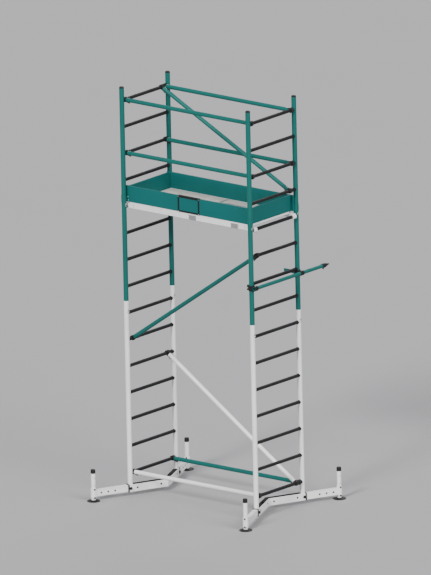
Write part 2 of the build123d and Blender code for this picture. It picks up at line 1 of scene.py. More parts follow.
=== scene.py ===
# %% [markdown]
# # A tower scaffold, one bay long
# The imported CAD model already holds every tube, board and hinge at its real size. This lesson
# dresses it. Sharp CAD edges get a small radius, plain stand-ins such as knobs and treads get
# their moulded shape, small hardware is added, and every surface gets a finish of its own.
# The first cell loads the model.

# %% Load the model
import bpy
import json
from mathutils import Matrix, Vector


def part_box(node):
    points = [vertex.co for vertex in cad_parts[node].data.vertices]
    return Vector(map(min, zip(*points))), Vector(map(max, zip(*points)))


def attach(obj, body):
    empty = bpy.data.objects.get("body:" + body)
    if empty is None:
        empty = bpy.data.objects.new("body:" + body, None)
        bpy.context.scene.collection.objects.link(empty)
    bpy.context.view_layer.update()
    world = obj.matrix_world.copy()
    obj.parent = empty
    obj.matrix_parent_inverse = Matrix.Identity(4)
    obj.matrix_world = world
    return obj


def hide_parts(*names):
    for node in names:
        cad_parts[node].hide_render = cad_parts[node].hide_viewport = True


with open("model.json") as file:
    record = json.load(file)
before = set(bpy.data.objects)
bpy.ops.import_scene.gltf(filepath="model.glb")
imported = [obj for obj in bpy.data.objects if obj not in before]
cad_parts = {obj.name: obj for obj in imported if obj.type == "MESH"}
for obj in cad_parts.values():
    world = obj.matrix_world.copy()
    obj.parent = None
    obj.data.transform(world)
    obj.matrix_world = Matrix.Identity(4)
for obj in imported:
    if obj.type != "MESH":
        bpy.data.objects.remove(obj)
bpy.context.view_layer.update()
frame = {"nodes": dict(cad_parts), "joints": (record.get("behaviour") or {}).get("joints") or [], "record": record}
import json
import math
import bmesh
import bpy
import numpy as np
from mathutils import Matrix, Vector

nodes = frame["nodes"]
joints = {joint["name"]: joint for joint in frame["joints"]}
colours = {entry["slot"]: tuple(entry["base_color"][:3]) for entry in frame["record"]["materials"]}
slot_of = {part["node"]: part["material_slot"] for part in frame["record"]["subparts"]}
body_of = {node: body for body, members in frame["record"]["behaviour"]["bodies"].items()
           for node in members}

# %% [markdown]
# The ladder ends set the measures for nearly everything else: where the uprights stand, how
# thick the rungs are and how far apart. They are read from the model, never typed again, so a
# changed model still fits.

# %% Measure the ladder ends
def middle(node):
    """Centre of a node's box."""
    low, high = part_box(node)
    return (low + high) / 2


rung_low, rung_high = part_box("rungs_left")
post_low, post_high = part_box("upper_uprights_left")
rung_radius = (rung_high.x - rung_low.x) / 2
post_radius = (post_high.x - post_low.x) / 2
post_y = post_high.y - post_radius
end_x = {"left": middle("rungs_left").x, "right": middle("rungs_right").x}
side_y = {"front": -post_y, "rear": post_y}
rung_count = 15
rung_pitch = (rung_high.z - rung_low.z - 2 * rung_radius) / (rung_count - 1)
rung_z = [rung_low.z + rung_radius + rung_pitch * number for number in range(rung_count)]
print("rungs", round(rung_pitch * 1000), "mm apart, radius", round(rung_radius * 1000, 1), "mm")

# %% [markdown]
# ## A kit for shapes
# A shape here is a grid of points worked out as whole arrays. Rows run along a piece and columns
# run round it. `grid_shape` joins the grid's neighbours with faces and closes both ends with a
# fan, so each piece is a closed skin. Blender's own primitives would do for a plain rod, but not
# for a flute or a rib, and adding them one by one is slow. Plain arrays make it cheap to place
# many copies of a shape and to join them into one mesh.

# %% Grids, placing and joining
def grid_shape(grid, closed=False):
    """Faces between neighbours of a (rows, columns, 3) grid, wrapped round the columns.

    A closed grid also wraps its rows, as a ring does; an open one gets a fan over each end.
    """
    rows, columns, _ = grid.shape
    points = grid.reshape(-1, 3)
    row = np.arange(rows if closed else rows - 1)[:, None]
    column = np.arange(columns)[None, :]
    after = (column + 1) % columns
    below = (row + 1) % rows
    quads = np.stack([row * columns + column, row * columns + after,
                      below * columns + after, below * columns + column], axis=-1).reshape(-1, 4)
    if closed:
        return points, quads, np.zeros((0, 3), int)
    first, last = len(points), len(points) + 1
    points = np.vstack([points, grid[0].mean(0), grid[-1].mean(0)])
    ring = np.arange(columns)
    turn = (ring + 1) % columns
    base = (rows - 1) * columns
    fans = [np.stack([turn, ring, np.full(columns, first)], axis=1),
            np.stack([base + ring, base + turn, np.full(columns, last)], axis=1)]
    return points, quads, np.vstack(fans)


def outward(shape):
    """The same shape with every face turned if its signed volume is negative."""
    points, quads, triangles = shape
    halves = np.vstack([quads[:, [0, 1, 2]], quads[:, [0, 2, 3]], triangles])
    a, b, c = (points[halves[:, k]] for k in range(3))
    if np.einsum("ij,ij->i", a, np.cross(b, c)).sum() < 0:
        return points, quads[:, ::-1], triangles[:, ::-1]
    return shape


def joined(shapes):
    """Many shapes as one, each turned outward first."""
    start = 0
    columns = [[], [], []]
    for points, quads, triangles in map(outward, shapes):
        columns[0].append(points)
        columns[1].append(quads + start)
        columns[2].append(triangles + start)
        start += len(points)
    return tuple(np.vstack(column) for column in columns)


def basis(origin, along, up=(0, 0, 1)):
    """A matrix whose x runs along a direction, with z as near to `up` as it can be."""
    x = Vector(along).normalized()
    y = Vector(up).cross(x).normalized()
    z = x.cross(y)
    matrix = Matrix((x, y, z)).transposed().to_4x4()
    matrix.translation = Vector(origin)
    return matrix


def placed(shape, matrix):
    """A shape moved from its own frame into the model's."""
    points, quads, triangles = shape
    turn = np.array(matrix.to_3x3())
    return points @ turn.T + np.array(matrix.translation), quads, triangles


def lathe(profile, sides=32):
    """A turned shape: each (height, radius) pair becomes a circle about x at that height."""
    profile = np.array(profile, float)
    angle = np.linspace(0, 2 * math.pi, sides, endpoint=False)
    grid = np.empty((len(profile), sides, 3))
    grid[..., 0] = profile[:, :1]
    grid[..., 1] = profile[:, 1:] * np.cos(angle)
    grid[..., 2] = profile[:, 1:] * np.sin(angle)
    return grid_shape(grid)


def ring(major, minor, sides=28, around=10):
    """A torus about x: a small circle carried round a large one."""
    turn = np.linspace(0, 2 * math.pi, sides, endpoint=False)[:, None]
    roll = np.linspace(0, 2 * math.pi, around, endpoint=False)[None, :]
    reach = major + minor * np.cos(roll)
    grid = np.stack([minor * np.sin(roll) + 0 * turn, reach * np.cos(turn),
                     reach * np.sin(turn)], axis=-1)
    return grid_shape(grid, closed=True)


def prism(outline, depth, round_off):
    """An outline in y and z carried from x = 0 to x = depth, drawn in at both ends by round_off."""
    outline = np.array(outline, float)
    centre = outline.mean(0)
    reach = np.linalg.norm(outline - centre, axis=1, keepdims=True)
    small = centre + (outline - centre) * (1 - round_off / reach)
    steps = [(0, small), (round_off, outline), (depth - round_off, outline), (depth, small)]
    grid = np.stack([np.column_stack([np.full(len(points), x), points]) for x, points in steps])
    return grid_shape(grid)


def polygon(count, radius):
    """A regular outline, such as a hexagon for a nut."""
    angle = np.linspace(0, 2 * math.pi, count, endpoint=False)
    return np.column_stack([radius * np.cos(angle), radius * np.sin(angle)])


def lobed(lobes, radius, depth, count=60):
    """A knob's outline: the radius swells and shrinks `lobes` times round the circle."""
    angle = np.linspace(0, 2 * math.pi, count, endpoint=False)
    reach = radius - depth * (0.5 - 0.5 * np.cos(lobes * angle))
    return np.column_stack([reach * np.cos(angle), reach * np.sin(angle)])


def rounded_bar(width, height, corner, steps=4):
    """A rectangle's outline in y and z with quarter-circle corners."""
    angle = np.linspace(0, math.pi / 2, steps)
    arcs = []
    for quarter, (y, z) in enumerate([(1, 1), (-1, 1), (-1, -1), (1, -1)]):
        turn = angle + quarter * math.pi / 2
        centre = np.array([y * (width / 2 - corner), z * (height / 2 - corner)])
        arcs.append(centre + corner * np.column_stack([np.cos(turn), np.sin(turn)]))
    return np.vstack(arcs)


print("one ring has", len(ring(1, 0.1)[1]), "faces")

# %% [markdown]
# ## A kit for finishes
# A painted surface is never one flat colour: the coat has a faint orange peel, dust sits in broad
# patches and the odd chip shows metal. Painted images could show that, but they need a map for
# every piece, so each finish here is arithmetic on noise, which fills any shape without seams.
# `Value` wraps one shader socket, so that `1 - mask * 0.5` adds the Math nodes by itself, and
# `Finish.node` adds any other node.

# %% Shader arithmetic
class Value:
    """A shader socket that takes part in Python expressions."""

    def __init__(self, finish, socket):
        self.finish = finish
        self.socket = socket

    def math(self, operation, other, swapped=False):
        first, second = (other, self) if swapped else (self, other)
        return self.finish.node("ShaderNodeMath", {0: first, 1: second}, operation=operation)

    def __add__(self, other):
        return self.math("ADD", other)

    def __sub__(self, other):
        return self.math("SUBTRACT", other)

    def __rsub__(self, other):
        return self.math("SUBTRACT", other, swapped=True)

    def __mul__(self, other):
        return self.math("MULTIPLY", other)

    __radd__ = __add__
    __rmul__ = __mul__


class Finish:
    """One material, with short ways to add nodes and to set its surface."""

    def __init__(self, name, metallic=0.0, sheen=0.5):
        self.material = bpy.data.materials.new(name)
        self.material.use_nodes = True
        self.tree = self.material.node_tree
        self.surface = self.tree.nodes["Principled BSDF"]
        self.surface.inputs["Metallic"].default_value = metallic
        self.surface.inputs["Specular IOR Level"].default_value = sheen
        self.place = self.node("ShaderNodeTexCoord", output="Object")

    def connect(self, socket, value):
        if isinstance(value, Value):
            self.tree.links.new(value.socket, socket)
        else:
            socket.default_value = value

    def node(self, kind, inputs=None, output=0, **settings):
        """Adds a node: settings first, then its inputs, and gives one output."""
        node = self.tree.nodes.new(kind)
        for name, value in settings.items():
            setattr(node, name, value)
        for name, value in (inputs or {}).items():
            self.connect(node.inputs[name], value)
        return Value(self, node.outputs[output])

    def noise(self, scale, detail=3.0, stretch=(1, 1, 1)):
        """Cloudy noise on the piece's own place, in patches per metre, stretched by axis."""
        place = self.node("ShaderNodeMapping", {"Vector": self.place, "Scale": stretch})
        return self.node("ShaderNodeTexNoise", {"Vector": place, "Scale": scale, "Detail": detail})

    def ramp(self, value, low, high):
        """0 below `low`, 1 above `high` and smooth between."""
        return self.node("ShaderNodeMapRange", {"Value": value, "From Min": low, "From Max": high},
                         interpolation_type="SMOOTHSTEP", clamp=True)

    def mix(self, amount, under, over):
        """One colour over another by an amount from 0 to 1."""
        colours_in = {"Factor": amount, "A": as_colour(under), "B": as_colour(over)}
        return self.node("ShaderNodeMix", colours_in, output="Result", data_type="RGBA")

    def finish(self, colour, roughness, height=None, depth=0.0):
        self.connect(self.surface.inputs["Base Color"], as_colour(colour))
        self.connect(self.surface.inputs["Roughness"], roughness)
        if height is not None:
            bump = self.node("ShaderNodeBump", {"Height": height, "Distance": depth, "Strength": 1.0})
            self.connect(self.surface.inputs["Normal"], bump)
        return self.material


def as_colour(value):
    """Three numbers become four; a Value stays as it is."""
    return value if isinstance(value, Value) else (*value[:3], 1.0)


def shade(colour, factor):
    """A darker or lighter tone of a colour."""
    return tuple(min(1.0, channel * factor) for channel in colour)


print("shader kit ready")

# %% [markdown]
# ### Coats, castings and plain metal
# The steel tubes are powder coated: paint powder is baked on in an even, slightly rippled coat.
# Noise of several sizes does it: broad patches for dust, runs along the height for streaks, fine
# ripples for the coat, and rare small spots, sharpened by a threshold, for chips. The black
# castings and mouldings need less, a pebbled bump and a pale bloom of dust. Zinc shows its
# crystals and aluminium the fine lines of rolling.

# %% Coats, castings and metal
def powder_coat(slot, chip_colour, roughness, chips=0.72, sheen=0.5, tone_factor=1.0):
    """A rippled coat; `chips` is the noise level above which a spot shows the chip's colour."""
    coat = Finish(slot, sheen=sheen)
    colour = shade(colours[slot], tone_factor)
    dust = coat.ramp(coat.noise(2.5, 5.0), 0.35, 0.75)
    streak = coat.ramp(coat.noise(14.0, 4.0, (1, 1, 0.12)), 0.5, 0.85)
    chip = coat.ramp(coat.noise(95.0, 7.0), chips, chips + 0.02)
    peel = coat.noise(520.0, 2.0)
    tone = coat.mix(dust * 0.5, colour, shade(colour, 0.84))
    tone = coat.mix(streak * 0.3, tone, shade(colour, 0.7))
    tone = coat.mix(chip, tone, chip_colour)
    height = peel * 0.5 - chip
    return coat.finish(tone, roughness + dust * 0.12 + streak * 0.08 + chip * 0.2, height, 0.00012)


def rough_black(slot, grain, depth, roughness):
    """Cast or moulded black: a pebbled bump and a dusty bloom on top."""
    skin = Finish(slot, sheen=0.2)
    colour = colours[slot]
    bloom = skin.ramp(skin.noise(22.0, 5.0), 0.4, 0.8)
    pebble = skin.noise(grain, 3.0)
    tone = skin.mix(bloom * 0.4, shade(colour, 0.6), shade(colour, 1.6))
    return skin.finish(tone, roughness + bloom * 0.15, pebble, depth)


def plated(slot, brushed):
    """Zinc with its crystal pattern, or aluminium with fine lines along x and y."""
    metal = Finish(slot, metallic=1.0)
    colour = colours[slot]
    if brushed:
        pattern = metal.noise(60.0, 3.0, (0.05, 1.0, 12.0))
    else:
        pattern = metal.node("ShaderNodeTexVoronoi", {"Vector": metal.place, "Scale": 260.0})
    smear = metal.ramp(metal.noise(12.0, 4.0), 0.35, 0.8)
    tone = metal.mix(pattern * 0.4, colour, shade(colour, 0.72))
    tone = metal.mix(smear * 0.25, tone, shade(colour, 0.6))
    return metal.finish(tone, 0.32 + pattern * 0.18 + smear * 0.15, pattern, 0.00006)


finishes = {
    "white_paint": powder_coat("white_paint", (0.32, 0.31, 0.30), 0.34),
    "teal_paint": powder_coat("teal_paint", (0.20, 0.24, 0.23), 0.34, chips=0.74, sheen=0.2,
                              tone_factor=0.54),
    "black_paint": powder_coat("black_paint", (0.12, 0.12, 0.115), 0.38, sheen=0.2,
                               tone_factor=0.6),
    "black_casting": rough_black("black_casting", grain=420.0, depth=0.0004, roughness=0.45),
    "black_plastic": rough_black("black_plastic", grain=900.0, depth=0.0001, roughness=0.42),
    "tread_rubber": rough_black("tread_rubber", grain=650.0, depth=0.0002, roughness=0.62),
    "zinc_steel": plated("zinc_steel", brushed=False),
    "raw_aluminium": plated("raw_aluminium", brushed=True),
}
print(sorted(finishes))

# %% [markdown]
# ### Boards
# The deck is coated plywood. A fine mesh is pressed into the film on top so that boots grip, and
# the cut edges show the plies as thin stripes. The board's own normal chooses between them: a face
# that looked sideways when the board lay flat keeps its stripes as the hatch opens. The toe boards
# are painted and show a faint grain along their length.

# %% Deck film and painted board
def deck_film(slot):
    """Pressed film on faces that look up or down, ply stripes on those that look sideways."""
    film = Finish(slot)
    colour = colours[slot]
    scuff = film.ramp(film.noise(9.0, 8.0), 0.5, 0.72)
    scrape = film.ramp(film.noise(26.0, 6.0, (0.25, 1, 1)), 0.58, 0.7)
    wires = [film.node("ShaderNodeTexWave", {"Vector": film.place, "Scale": 62.0}, output="Fac",
                       bands_direction=axis) for axis in ("X", "Y")]
    mesh = wires[0].math("MAXIMUM", wires[1])
    plies = film.node("ShaderNodeTexWave", {"Vector": film.place, "Scale": 130.0, "Distortion": 0.6},
                      output="Fac", bands_direction="Z")
    normal = film.node("ShaderNodeTexCoord", output="Normal")
    facing = film.node("ShaderNodeSeparateXYZ", {0: normal}, output="Z").math("ABSOLUTE", 0.0)
    edge = 1 - film.ramp(facing, 0.4, 0.6)
    tone = film.mix(mesh * 0.22, colour, shade(colour, 0.72))
    tone = film.mix(scuff * 0.35, tone, shade(colour, 1.25))
    tone = film.mix(scrape * 0.3, tone, shade(colour, 0.6))
    wood = film.mix(plies, (0.30, 0.19, 0.10), (0.52, 0.36, 0.20))
    height = mesh * (1 - edge)
    return film.finish(film.mix(edge, tone, wood), 0.5 + scuff * 0.2 - mesh * 0.08, height, 0.0002)


def painted_board(slot):
    """Paint over a grain that runs along x, with a few knocks down to the wood."""
    board = Finish(slot, sheen=0.2)
    colour = shade(colours[slot], 0.8)
    grain = board.noise(18.0, 6.0, (0.12, 1.0, 6.0))
    knock = board.ramp(board.noise(60.0, 6.0), 0.76, 0.78)
    dust = board.ramp(board.noise(4.0, 5.0), 0.4, 0.8)
    tone = board.mix(grain * 0.3, colour, shade(colour, 0.75))
    tone = board.mix(dust * 0.3, tone, shade(colour, 1.15))
    tone = board.mix(knock, tone, (0.33, 0.24, 0.15))
    return board.finish(tone, 0.4 + grain * 0.15 + dust * 0.1, grain - knock, 0.0003)


finishes["deck_ply"] = deck_film("deck_ply")
finishes["teal_board"] = painted_board("teal_board")
print("boards painted")

# %% [markdown]
# ## Putting a piece into the scene
# `piece` turns a shape into a mesh that rides on the right body and takes its finish. Smooth
# shading with sharp edges kept above 35 degrees suits both turned and flat parts.

# %% Make a piece
def show(mesh, name, slot, body, stands_for=()):
    """Puts a mesh into the scene on a body, with a finish, in place of the nodes named."""
    item = bpy.data.objects.new(name, mesh)
    bpy.context.scene.collection.objects.link(item)
    mesh.materials.clear()
    mesh.materials.append(finishes[slot])
    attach(item, body)
    if stands_for:
        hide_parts(*stands_for)
    return item


def piece(name, shapes, slot, body="tower", stands_for=(), crease=35):
    """Joins shapes into one mesh and shows it."""
    points, quads, triangles = joined(shapes)
    mesh = bpy.data.meshes.new(name)
    mesh.from_pydata(points.tolist(), [], quads.tolist() + triangles.tolist())
    mesh.shade_smooth()
    mesh.set_sharp_from_angle(angle=math.radians(crease))
    print(name, len(points), "points")
    return show(mesh, name, slot, body, stands_for)


for name, node in nodes.items():
    node.data.materials.clear()
    node.data.materials.append(finishes[slot_of[name]])
print(len(nodes), "nodes painted")

# %% [markdown]
# ## Edges that catch the light
# A folded, sawn or cast edge is never knife sharp, and the thin bright line along it is what
# makes metal look real. A shader can fake that line, but the outline stays sharp. Here the parts
# with flat faces are copied, their loose triangles merged back into faces, and a Bevel modifier
# rounds each sharp edge inwards. The CAD node is then hidden.

# %% Round the flat parts' edges
def softened(node, width):
    """A copy of a CAD node with rounded edges that stands in for it."""
    mesh = nodes[node].data.copy()
    mesh.name = f"{node}_rounded"
    work = bmesh.new()
    work.from_mesh(mesh)
    bmesh.ops.remove_doubles(work, verts=work.verts, dist=1e-6)
    bmesh.ops.dissolve_limit(work, angle_limit=math.radians(0.5), verts=work.verts, edges=work.edges,
                             use_dissolve_boundaries=False)
    work.to_mesh(mesh)
    work.free()
    if "custom_normal" in mesh.attributes:
        mesh.attributes.remove(mesh.attributes["custom_normal"])
    mesh.shade_smooth()
    mesh.set_sharp_from_angle(angle=math.radians(35))
    item = show(mesh, f"{node}_rounded", slot_of[node], body_of[node], [node])
    bevel = item.modifiers.new("edges", "BEVEL")
    bevel.width = width
    bevel.segments = 2
    bevel.limit_method = "ANGLE"
    bevel.angle_limit = math.radians(40)
    bevel.harden_normals = True
    return item


corners = [f"{end}_{side}" for end in end_x for side in side_y]
edge_radius = {
    "base_beam_left": 0.003, "base_beam_right": 0.003, "platform_side_rails": 0.0015,
    "platform_hooks": 0.0015, "deck_boards": 0.0008, "hatch_panel": 0.0008,
    "platform_cross_members": 0.001, "toe_board_front": 0.003, "toe_board_rear": 0.003,
    "toe_board_left": 0.003, "toe_board_right": 0.003, "toe_board_clips": 0.001,
    "toe_board_sign_frame": 0.0012, "brace_claws": 0.0018, "brace_claw_latches": 0.0012,
    "wall_tie_couplers": 0.0018, "wall_tie_coupler_lever": 0.0015, "hatch_hinge_brackets": 0.0006,
    "hatch_hinge_leaves": 0.0005, "wind_lock_left": 0.0012, "wind_lock_right": 0.0012,
    "frame_lock_pins": 0.0012, "wind_lock_pins": 0.0008, "hatch_ring_ears": 0.0006,
}
edge_radius.update({f"outrigger_leg_{corner}": 0.0025 for corner in corners})
for node, width in edge_radius.items():
    softened(node, width)
print(len(edge_radius), "nodes with rounded edges")

# %% [markdown]
# ## Rungs
# The black rungs are fluted along their length so that a boot doesn't slip. Cutting every flute
# with a Boolean would be slow and ragged. A formula does it at once: a fluted rung is a circle
# whose radius dips a little, many times round. Each end is coped: it stops at the upright's wall,
# and where that is depends on how far out from the upright's axis the point lies.

# %% Fluted, coped rungs
flute_count = 20
flute_depth = 0.0007


def coped_end(across):
    """How far along y the upright's wall is, for points `across` from its axis."""
    return post_y - np.sqrt(post_radius ** 2 - across ** 2)


def fluted_rung(x, z):
    """x = r cos a and z = r sin a, with r dipping once per flute; y runs from cope to cope."""
    angle = np.linspace(0, 2 * math.pi, flute_count * 6, endpoint=False)
    dip = (0.5 - 0.5 * np.cos(flute_count * angle)) ** 2
    reach = rung_radius - flute_depth * dip
    across = reach * np.cos(angle)
    share = np.array([-1.0, -0.96, 0.96, 1.0])[:, None]
    grid = np.empty((len(share), len(angle), 3))
    grid[..., 0] = x + across
    grid[..., 1] = share * coped_end(across)
    grid[..., 2] = z + reach * np.sin(angle)
    return grid_shape(grid)


for end, x in end_x.items():
    node = f"rungs_{end}"
    piece(f"fluted_{node}", [fluted_rung(x, z) for z in rung_z], slot_of[node], stands_for=[node],
          crease=50)

# %% [markdown]
# ### Weld beads
# Each rung is welded to its two uprights. A plain torus would sink into the upright on two sides
# and float off it on the others, since the seam is saddle-shaped. The bead's path is the cope's
# own formula, and small ripples along it are the pools that a welder leaves.

# %% Weld beads round the rung ends
bead_radius = 0.0032
ripple_count = 26


def weld_bead(x, side, z):
    """A small circle carried along the saddle: its size ripples along the seam."""
    turn = np.linspace(0, 2 * math.pi, 104, endpoint=False)[:, None]
    roll = np.linspace(0, 2 * math.pi, 8, endpoint=False)[None, :]
    size = bead_radius * (1 + 0.14 * np.cos(ripple_count * turn))
    reach = rung_radius + size * np.cos(roll)
    seam = coped_end(rung_radius * np.cos(turn))
    grid = np.stack([x + reach * np.cos(turn), side * (seam - size * np.sin(roll) * 0.8),
                     z + reach * np.sin(turn)], axis=-1)
    return grid_shape(grid, closed=True)


beads = [weld_bead(x, side, z) for x in end_x.values() for side in (-1, 1) for z in rung_z]
piece("rung_weld_beads", beads, "black_paint", crease=80)

# %% [markdown]
# ## Upright seams, pins and caps
# Where one frame stands on the next, both tube ends are rolled over slightly, which leaves a fine
# raised lip above and below the seam. The lip is a turned band a little wider than the tube, and
# it takes the colour of the tube it belongs to.

# %% Rolled lips at the seams
def along_z(x, y, z):
    """A frame at a point whose x axis runs up."""
    return basis((x, y, z), (0, 0, 1), (1, 0, 0))


lip_height = 0.007
lip_rise = 0.0009
lip_edge = 0.001
seam_gap = 0.0004
lip = lathe([(0, post_radius - lip_edge), (lip_edge, post_radius + lip_rise),
             (lip_height - lip_edge, post_radius + lip_rise), (lip_height, post_radius - lip_edge)], 40)
lips = {"teal_paint": [], "white_paint": []}
for low_frame, high_frame in [("lower", "upper"), ("upper", "guard")]:
    seam_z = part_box(f"{high_frame}_uprights_left")[0].z
    starts = {low_frame: seam_z - lip_height - seam_gap, high_frame: seam_z + seam_gap}
    for x in end_x.values():
        for y in side_y.values():
            for which, start in starts.items():
                slot = slot_of[f"{which}_uprights_left"]
                lips[slot].append(placed(lip, along_z(x, y, start)))
for slot, shapes in lips.items():
    piece(f"seam_lips_{slot}", shapes, slot)

# %% [markdown]
# Several nodes hold a group of alike parts, such as the eight lock pins. New hardware has to sit
# on each of them, so their places are found from the mesh: vertices that share edges belong to
# one solid, and walking from edge to edge gathers them.

# %% Find the separate solids of a node
def solids(node):
    """Low and high corner of each separate solid in a node, from which vertices share faces."""
    work = bmesh.new()
    work.from_mesh(nodes[node].data)
    bmesh.ops.remove_doubles(work, verts=work.verts, dist=1e-6)
    waiting = set(work.verts)
    found = []
    while waiting:
        group = [waiting.pop()]
        for vertex in group:
            for edge in vertex.link_edges:
                other = edge.other_vert(vertex)
                if other in waiting:
                    waiting.remove(other)
                    group.append(other)
        places = np.array([vertex.co for vertex in group])
        found.append((Vector(places.min(0)), Vector(places.max(0))))
    work.free()
    return sorted(found, key=lambda corner: tuple(round(value, 4) for value in corner[0]))


pin_boxes = solids("frame_lock_pins")
print(len(pin_boxes), "lock pins")

# %% [markdown]
# A ring through each lock pin's head lets a gloved hand pull it, and a wire clip on its far end
# keeps it in. Rings and wire are tori and a thin rod, laid out from each pin's box.

# %% Pull rings and clips of the lock pins
pull_radius = 0.012
pull_inset = 0.0015
clip_radius = 0.0058
clip_inset = 0.003
wire_radius = 0.0012
wire_length = 0.02
wire_rise = 0.0065
wire = lathe([(0, wire_radius), (wire_length, wire_radius)], 8)
pull_rings = []
for low, high in pin_boxes:
    y, z = (low.y + high.y) / 2, (low.z + high.z) / 2
    clip_x = low.x + clip_inset
    pull = basis((high.x - pull_inset, y, z - pull_radius), (1, 0, 0))
    pull_rings.append(placed(ring(pull_radius, 0.0014), pull))
    pull_rings.append(placed(ring(clip_radius, wire_radius), basis((clip_x, y, z), (1, 0, 0))))
    pull_rings.append(placed(wire, basis((clip_x, y, z + wire_rise), (0, 1, -0.3))))
piece("lock_pin_rings", pull_rings, "zinc_steel")

# %% [markdown]
# The posts end in black plastic caps. Each has a domed head as wide as the tube and a plug that
# grips inside it, and both are profiles turned about the post's axis.

# %% Domed caps on the upright ends
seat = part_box("guard_uprights_left")[1].z
plug_radius = post_radius - 0.0027
cap_shapes = []
for low, high in solids("upright_caps"):
    post = along_z((low.x + high.x) / 2, (low.y + high.y) / 2, 0)
    top = high.z
    head = [(seat, post_radius - 0.003), (seat, post_radius), (seat + 0.006, post_radius),
            (seat + 0.007, post_radius - 0.0012), (top - 0.004, post_radius - 0.002),
            (top - 0.0015, post_radius - 0.005), (top - 0.0003, post_radius - 0.010),
            (top, post_radius - 0.017)]
    plug = [(low.z, plug_radius - 0.0013), (low.z + 0.002, plug_radius), (seat, plug_radius)]
    cap_shapes += [placed(lathe(profile, 48), post) for profile in (head, plug)]
piece("domed_upright_caps", cap_shapes, "black_plastic", stands_for=["upright_caps"])

# %% [markdown]
# ## The base
# Each outrigger arm points along its sliding joint's axis, so the joint gives its direction.
# Everything on an arm is then built in the arm's own frame, with x running outwards, and the same
# few lines serve all four arms.

# %% Arms and their frames
arms = {}
for end, x in end_x.items():
    for side, y in side_y.items():
        arms[f"{end}_{side}"] = basis((x, y, 0), joints[f"leg_slide_{end}_{side}"]["axis"])
foot_reach = (middle("foot_tube_left_front") - arms["left_front"].translation).xy.length
print("foot axis", round(foot_reach * 1000), "mm from the upright")

# %% [markdown]
# The screw that locks a leg has a lobed knob, so that a gloved hand can turn it. Its outline is a
# circle whose radius swells six times round, carried as deep as the knob, with a short neck behind
# it and a low boss in front. Its place along the arm is kept, because the holes are set out from it.

# %% Lobed lock knobs
knob = [placed(prism(lobed(6, 0.0145, 0.003), 0.0115, 0.0018), Matrix.Translation((-0.004, 0, 0))),
        lathe([(-0.0075, 0.0045), (-0.0075, 0.005), (-0.004, 0.005)], 24),
        lathe([(0.0070, 0.006), (0.0095, 0.0055), (0.0100, 0.004)], 24)]
knob_shapes = []
lock_place = {}
for low, high in solids("leg_lock_screws"):
    centre = (low + high) / 2
    corner = min(arms, key=lambda key: (arms[key].translation.xy - centre.xy).length)
    lock_place[corner] = arms[corner].inverted() @ centre
    across = arms[corner].to_3x3() @ Vector((0, 1, 0))
    screw = basis(centre, across if across.x > 0 else -across)
    knob_shapes += [placed(shape, screw) for shape in knob]
piece("lobed_lock_knobs", knob_shapes, "black_plastic", stands_for=["leg_lock_screws"])

# %% [markdown]
# The tread is a black strip with a rib every six millimetres. A bump would show the ribs from
# above and lose them from the side, so the strip's height is a rounded square wave of the distance
# along the arm. The strips of both arms are cut to a mitre where they meet.

# %% Ribbed treads
tread_low, tread_high = solids("base_beam_treads")[0]
tread_bottom, tread_top = tread_low.z, tread_high.z
bend_reach = post_y / abs(arms["left_rear"].to_3x3()[1][0])
tread_half = 0.0205
rib_pitch = 0.006


def ribbed_arm(matrix):
    """Rows along the arm, four columns round it; the top rises on each rib.

    The row's corners slide along the arm as they near the bend, which cuts the mitre.
    """
    tilt = matrix.to_3x3()
    start = -(post_radius + 0.002)
    count = int((bend_reach + start) / rib_pitch * 6)
    share = np.linspace(0, 1, count)[:, None]
    across = tread_half * np.array([[-1, 1, 1, -1]])
    mitre = across * tilt[1][1] / tilt[1][0]
    along = start + share * (-bend_reach - start)
    local_x = along - share * mitre
    rib = np.clip(0.5 + 1.1 * np.cos(2 * math.pi * along / rib_pitch), 0, 1)
    upper = tread_bottom + (tread_top - tread_bottom) * (0.35 + 0.65 * rib)
    heights = np.hstack([np.full((count, 2), tread_bottom), upper, upper])
    grid = np.stack([local_x, across + 0 * share, heights], axis=-1)
    return placed(grid_shape(grid), matrix)


piece("ribbed_treads", [ribbed_arm(matrix) for matrix in arms.values()], "tread_rubber",
      stands_for=["base_beam_treads"], crease=25)

# %% [markdown]
# A foot is a turned part: its pad has a rolled rim, a shallow groove and a hub, and its cap has a
# domed top. Both are profiles turned about the foot's axis. The cap's skirt is ribbed for grip,
# so its radius also swings round the circle.

# %% Feet
def ribbed_cap(bottom, top, radius):
    """A turned cap; on the skirt's rows the radius dips by a cosine, thirty times round."""
    angle = np.linspace(0, 2 * math.pi, 120, endpoint=False)
    rib = 0.0006 * (0.5 + 0.5 * np.cos(30 * angle))
    steps = np.array([(bottom, radius - 0.0015, 0), (bottom + 0.001, radius, 0),
                      (bottom + 0.004, radius, 0), (bottom + 0.005, radius, 1),
                      (top - 0.008, radius, 1), (top - 0.006, radius, 0),
                      (top - 0.0025, radius - 0.002, 0), (top - 0.0006, radius - 0.006, 0),
                      (top, radius - 0.014, 0)])
    height, reach, ribbed = (steps[:, [column]] for column in range(3))
    reach = reach - ribbed * rib
    return grid_shape(np.stack([height + 0 * reach, reach * np.cos(angle), reach * np.sin(angle)],
                               axis=-1))


def stepped_pad(radius, tube_radius, socket):
    """A turned pad: rolled rim, shallow groove, then a hub that holds the tube from `socket` up."""
    hub = tube_radius + 0.0005
    return lathe([(0, radius - 0.004), (0, radius - 0.001), (0.0012, radius), (0.0045, radius),
                  (0.006, radius - 0.0015), (0.0066, radius - 0.006), (0.0056, radius - 0.009),
                  (0.0056, radius - 0.012), (0.0072, radius - 0.015), (0.0095, tube_radius + 0.016),
                  (0.0125, tube_radius + 0.0095), (0.0140, tube_radius + 0.008), (0.0140, hub),
                  (socket, hub)], 72)


